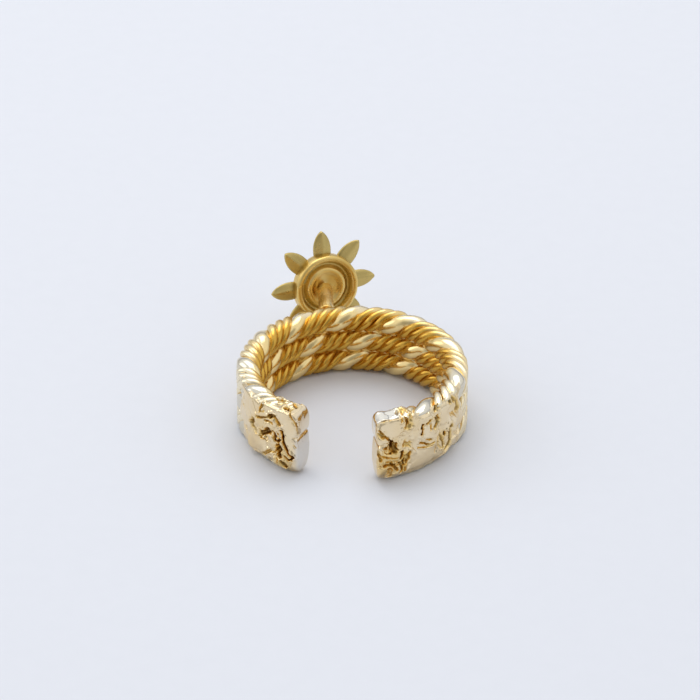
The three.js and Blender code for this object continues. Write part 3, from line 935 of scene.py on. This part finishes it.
def spline(points, count):
    """A smooth run of points through the given ones."""
    rough = np.array(points)
    step = np.append(0.0, np.cumsum(np.linalg.norm(np.diff(rough, axis=0), axis=1)))
    at = np.linspace(0.0, step[-1], count)
    slopes = np.gradient(rough, step, axis=0)
    k = np.clip(np.searchsorted(step, at, side="right") - 1, 0, len(step) - 2)
    span = (step[k + 1] - step[k])[:, None]
    t = ((at - step[k])[:, None]) / span
    start, stop = rough[k], rough[k + 1]
    leave, arrive = slopes[k] * span, slopes[k + 1] * span
    from_start = (2 * t**3 - 3 * t**2 + 1) * start + (t**3 - 2 * t**2 + t) * leave
    return from_start + (3 * t**2 - 2 * t**3) * stop + (t**3 - t**2) * arrive


def disc_mesh():
    """Points, faces and painted shade of the disc: its half section turned round, a little uneven."""
    sides, rows = 144, 110
    profile = spline(DISC_SECTION, rows)
    profile[:, 0] = np.maximum(profile[:, 0], 0.0)
    verts, faces, painted_shades = [(0.0, 0.0, profile[0, 1])], [], [0.0]
    for r, z in profile[1:-1]:
        # Painted shade in the dished back inside the rim, darkest in its groove.
        groove = smoothstep(0.3, 0.05, np.array(z)) * (1.0 if z > -0.08 and r < 1.75 else 0.0)
        for i in range(sides):
            turn = 2 * math.pi * i / sides
            wave = 0.018 * math.sin(3 * turn + 1.0) * (1 if z > 0.1 else 0)
            wobble = noise.noise(Vector((r * math.cos(turn), r * math.sin(turn), z * 2)) * 1.7) * 0.022
            verts.append((r * math.cos(turn) * (1 + wobble * 0.5), r * math.sin(turn), z + wobble + wave))
            painted_shades.append(float(groove) * 0.4)
    verts.append((0.0, 0.0, profile[-1, 1]))
    painted_shades.append(0.0)
    last = len(verts) - 1
    for i in range(sides):
        after = (i + 1) % sides
        faces.append((0, 1 + after, 1 + i))
        for row in range(rows - 3):
            a = 1 + row * sides
            faces.append((a + i, a + after, a + sides + after, a + sides + i))
        top = 1 + (rows - 3) * sides
        faces.append((top + i, top + after, last))
    return verts, faces, painted_shades


def outline_curve(n, share, points):
    """A smooth rule from a share along the ray to a share of its half width."""
    node = n.node("ShaderNodeFloatCurve", Value=share)
    curve = node.mapping.curves[0]
    curve.points[0].location, curve.points[-1].location = points[0], points[-1]
    for point in points[1:-1]:
        curve.points.new(*point)
    node.mapping.update()
    return node.outputs["Value"]


def ray_shape(n):
    """One ray: a leaf with a low ridge down its middle and rounded edges."""
    root = n.size("Ray root", 1.8 * MM)
    tip = n.size("Ray tip", SUN["tip"] * MM)
    half_width = n.size("Ray half width", 0.6 * MM)
    thickness = n.size("Ray thickness", 0.4 * MM)
    ridge = n.size("Ridge height", 0.07 * MM)
    line = n.node("GeometryNodeCurvePrimitiveLine")
    points = n.node("GeometryNodeResampleCurve", Curve=line.outputs[0], Count=RAY_STEPS)
    share = n.node("GeometryNodeSplineParameter").outputs["Factor"]
    along = n.sum("SUBTRACT", 1.0, n.sum("POWER", n.sum("SUBTRACT", 1.0, share), 1.3))
    reach = n.sum("ADD", root, n.sum("MULTIPLY", along, n.sum("SUBTRACT", tip, root)))
    half = n.sum("MULTIPLY", outline_curve(n, along, RAY_OUTLINE), half_width)
    marked = n.mark(n.mark(points.outputs[0], "share", along), "half", half)
    placed = n.node("GeometryNodeSetPosition", Geometry=marked, Position=n.vector(reach, 0.0, 0.0))
    section = n.node("GeometryNodeCurvePrimitiveCircle", Radius=1.0, Resolution=RAY_SIDES)
    bar = n.tube(placed.outputs[0], section.outputs[0], half)
    parts = n.node("ShaderNodeSeparateXYZ", Vector=n.node("GeometryNodeInputPosition").outputs[0])
    share = n.node("GeometryNodeInputNamedAttribute", {"data_type": "FLOAT"}, Name="share").outputs[0]
    half = n.node("GeometryNodeInputNamedAttribute", {"data_type": "FLOAT"}, Name="half").outputs[0]
    lift = n.sum("DIVIDE", parts.outputs[2], n.sum("MAXIMUM", half, 0.00001))
    full = n.sum("MULTIPLY", n.sum("SIGN", lift), n.sum("POWER", n.sum("ABSOLUTE", lift), 0.7))
    thin_out = n.sum("SUBTRACT", 1.0, n.sum("MULTIPLY", share, 0.45))
    edge = n.sum("MINIMUM", 1.0, n.sum("DIVIDE", half, 0.0002))
    thick = n.sum("MULTIPLY", n.sum("MULTIPLY", n.sum("MULTIPLY", thickness, 0.5), thin_out), edge)
    width = n.sum("DIVIDE", parts.outputs[1], 0.00014)
    bell = n.sum("EXPONENT", n.sum("MULTIPLY", n.sum("MULTIPLY", width, width), -1.0))
    crest = n.sum("MULTIPLY", bell, ridge)
    crest = n.sum("MULTIPLY", crest, n.sum("MULTIPLY", n.sum("GREATER_THAN", lift, 0.0), edge))
    height = n.sum("ADD", n.sum("ADD", n.sum("MULTIPLY", full, thick), crest), -0.28 * MM)
    shaped = n.node(
        "GeometryNodeSetPosition",
        Geometry=bar,
        Position=n.vector(parts.outputs[0], parts.outputs[1], height),
    )
    # Painted shade: the whole ray a little darker, as it faces the dim front of the room, and darker
    # still at its root by the disc.
    root_shade = n.ramp(share, 0.35, 0.0, 0.0, 1.0)
    painted_shade = n.sum("ADD", 0.4, n.sum("MULTIPLY", root_shade, 0.25))
    return n.mark(shaped.outputs[0], "painted_shade", painted_shade)


def rays_tree():
    """The ring of rays round the disc, each a little longer or shorter than the next."""
    n = Nodes("sun rays")
    count = n.size("Rays", SUN["rays"], whole=True)
    uneven = n.size("Unevenness", 0.012)
    ray = ray_shape(n)
    places = n.node("GeometryNodePoints", Count=count)
    index = n.node("GeometryNodeInputIndex").outputs[0]
    turn = n.sum("ADD", n.sum("MULTIPLY", n.sum("DIVIDE", index, count), 2 * math.pi), math.pi / 2)
    chance = n.node("FunctionNodeRandomValue", {"data_type": "FLOAT"}, Seed=RAY_SEED)
    share = n.sum("SUBTRACT", chance.outputs["Value"], 0.5)
    length = n.sum("ADD", 1.0, n.sum("MULTIPLY", share, n.sum("MULTIPLY", uneven, 2.0)))
    copies = n.node(
        "GeometryNodeInstanceOnPoints",
        Points=places.outputs[0],
        Instance=ray,
        Rotation=n.vector(0.0, 0.0, turn),
        Scale=n.vector(length, length, 1.0),
    )
    whole = n.node("GeometryNodeRealizeInstances", Geometry=copies.outputs[0])
    smooth = n.node("GeometryNodeSetShadeSmooth", Geometry=whole.outputs[0])
    gilded = n.node("GeometryNodeSetMaterial", Geometry=smooth.outputs[0], Material=SUN_GOLD)
    return n.end(gilded.outputs[0])


def build_sun():
    """The disc with its rim and dished back, then the rays round it."""
    verts, faces, painted_shades = disc_mesh()
    mesh = bpy.data.meshes.new("sun_disc")
    mesh.from_pydata(verts, [], faces)
    mesh.update()
    attribute = mesh.attributes.new("painted_shade", "FLOAT", "POINT")
    attribute.data.foreach_set("value", np.array(painted_shades, dtype=np.float32))
    mesh.shade_smooth()
    mesh.materials.append(SUN_GOLD)
    mesh.transform(sun_place() @ Matrix.Scale(MM, 4))
    disc = bpy.data.objects.new("sun_disc", mesh)
    bpy.context.collection.objects.link(disc)
    finish_piece(disc, "sun_charm")
    rays = grown("sun_rays", rays_tree(), {"Rays": SUN["rays"], "Ray tip": SUN["tip"] * MM})
    rays.data.transform(sun_place())
    finish_piece(rays, "sun_charm")


def beside_band(radius, angle, height):
    """A point in millimetres from its distance to the band's axis, its angle and its height."""
    turn = math.radians(angle)
    return Vector((radius * math.sin(turn), radius * math.cos(turn) + RING_Y, height))


def build_post():
    """The plain round post from the outside of the band to the dished back of the sun."""
    foot = beside_band(AXIS_RADIUS + PRESSED_DEPTH + POST["gap"], POST["angle"], SUN_HEIGHT)
    line = beside_band(SUN["radius"], SUN["angle"], SUN_HEIGHT) - foot
    slant = math.sin(math.radians(SUN["lean"])) + math.sin(math.radians(SUN["yaw"]))
    length = line.length - POST["floor"] - POST["gap"] - POST["radius"] * slant
    line.normalize()
    across = line.cross(Vector((0, 0, 1))).normalized()
    upward = across.cross(line)
    turn = np.linspace(0.0, math.pi / 2, 7)
    edge = POST["edge"]
    inset = np.concatenate(([POST["radius"] * 0.9], edge * (1 - np.sin(turn))))
    along = np.concatenate(([0.0], edge * (1 - np.cos(turn))))
    middle = np.linspace(edge, length - edge, 26)[1:-1]
    stations = np.concatenate((along, middle, length - along[::-1]))
    inset = np.concatenate((inset, np.zeros(len(middle)), inset[::-1]))
    around = np.linspace(0.0, 2 * math.pi, POST["sides"], endpoint=False)
    rings = []
    for place, less in zip(stations, inset):
        drawn = 1 + 0.012 * math.sin(place * 4.0)
        for angle in around:
            spoke = across * math.cos(angle) + upward * math.sin(angle)
            rings.append(foot + line * place + spoke * (POST["radius"] - less) * drawn)
    verts = np.array(rings) * MM
    # Painted shade near both ends of the post, where it meets the band and the sun.
    painted_light = np.repeat(smoothstep(0.5, 0.0, np.minimum(stations, length - stations)), POST["sides"])
    values = {"painted_shade": painted_light * 0.4}
    piece = closed_mesh("sun_post", verts, len(stations), POST["sides"], False, values, POST_GOLD)
    finish_piece(piece, "charm_post")


# Stage

# Brightness of the room above, at its sides, and of the dim part behind the camera as a share
ROOM = {"above": 0.95, "sides": 0.6, "front": 0.42}


def build_stage():
    """A pale floor that curves up into a backdrop."""
    width, steps, bend, back = 0.9, 24, 0.12, 0.4
    rows = [(-0.45, 0.0), (back, 0.0)]
    for i in range(1, steps + 1):
        turn = math.pi / 2 * i / steps
        rows.append((back + bend * math.sin(turn), bend * (1 - math.cos(turn))))
    rows.append((back + bend, 0.2))
    verts = [(x, y, z - 0.00001) for y, z in rows for x in (-width / 2, width / 2)]
    faces = [(2 * i, 2 * i + 1, 2 * i + 3, 2 * i + 2) for i in range(len(rows) - 1)]
    mesh = bpy.data.meshes.new("floor")
    mesh.from_pydata(verts, [], faces)
    mesh.shade_smooth()
    shader = Shader("pale_paper")
    grain = shader.spread(shader.noise(900.0, 4.0), 0.3, 0.7)
    tone = shader.mix(grain, (0.742, 0.755, 0.795), (0.75, 0.763, 0.803))
    shader.link(tone, shader.surface.inputs["Base Color"])
    shader.surface.inputs["Roughness"].default_value = 0.75
    shader.surface.inputs["Specular IOR Level"].default_value = 0.15
    mesh.materials.append(shader.material)
    floor = bpy.data.objects.new("floor", mesh)
    bpy.context.collection.objects.link(floor)


def add_light(name, place, target, size, power, colour=(1.0, 1.0, 1.0)):
    """A soft oblong lamp that looks at a target, in metres and watts."""
    light = bpy.data.lights.new(name, "AREA")
    light.shape = "RECTANGLE"
    light.size, light.size_y = size
    light.energy = power
    light.color = colour
    lamp = bpy.data.objects.new(name, light)
    lamp.location = place
    lamp.rotation_euler = (Vector(target) - Vector(place)).to_track_quat("-Z", "Y").to_euler()
    bpy.context.collection.objects.link(lamp)


def build_room():
    """The room round the stage: pale above and behind, dimmer low down and in front."""
    world = bpy.data.worlds.new("room")
    world.use_nodes = True
    nodes, links = world.node_tree.nodes, world.node_tree.links
    back = nodes["Background"]
    direction = nodes.new("ShaderNodeTexCoord").outputs["Generated"]

    def band(axis, low, high, dim, bright):
        along = nodes.new("ShaderNodeVectorMath")
        along.operation = "DOT_PRODUCT"
        along.inputs[1].default_value = axis
        links.new(direction, along.inputs[0])
        spread = nodes.new("ShaderNodeMapRange")
        spread.interpolation_type = "SMOOTHSTEP"
        for socket, value in zip(spread.inputs[1:5], (low, high, dim, bright)):
            socket.default_value = value
        links.new(along.outputs["Value"], spread.inputs[0])
        return spread.outputs[0]

    overhead = band((0.0, 0.0, 1.0), 0.1, 0.5, ROOM["sides"], ROOM["above"])
    front = band((0.1, -0.845, 0.525), 0.8, 0.97, 1.0, ROOM["front"])
    product = nodes.new("ShaderNodeMath")
    product.operation = "MULTIPLY"
    links.new(overhead, product.inputs[0])
    links.new(front, product.inputs[1])
    links.new(product.outputs[0], back.inputs["Strength"])
    back.inputs["Color"].default_value = (0.94, 0.96, 1.0, 1.0)
    bpy.context.scene.world = world


def build_light():
    """The room, a soft box above and a window on the left."""
    build_room()
    add_light("soft box above", (-0.03, 0.1, 0.26), (0, 0, 0), (0.24, 0.2), 0.24)
    add_light("window left", (-0.3, 0.02, 0.16), (0, 0, 0), (0.16, 0.2), 0.1, (0.95, 0.97, 1.0))
    scene = bpy.context.scene
    scene.view_settings.view_transform = "Standard"
    scene.view_settings.look = "None"


def build_camera():
    """A long lens that looks down at the cuff, with the gap a little to its left."""
    tilt, turn, away = math.radians(31.7), math.radians(6.5), 210.8
    look = Vector((0, math.cos(tilt), -math.sin(tilt)))
    upward = Vector((0, math.sin(tilt), math.cos(tilt)))
    place = look * -away + Vector((-0.137, 0, 0)) + upward * 4.469
    place.rotate(Matrix.Rotation(turn, 3, "Z"))
    data = bpy.data.cameras.new("camera")
    data.sensor_width = 36.0
    data.lens = 3400 / 700 * 36.0
    data.clip_start = 0.01
    camera = bpy.data.objects.new("camera", data)
    camera.location = (place + Vector((0, RING_Y, 0))) * MM
    camera.rotation_euler = (math.pi / 2 - tilt, 0.0, turn)
    bpy.context.collection.objects.link(camera)
    bpy.context.scene.camera = camera


build_camera()
build_rows()
build_ends()
build_sun()
build_post()
build_stage()
build_light()

bpy.context.view_layer.update()
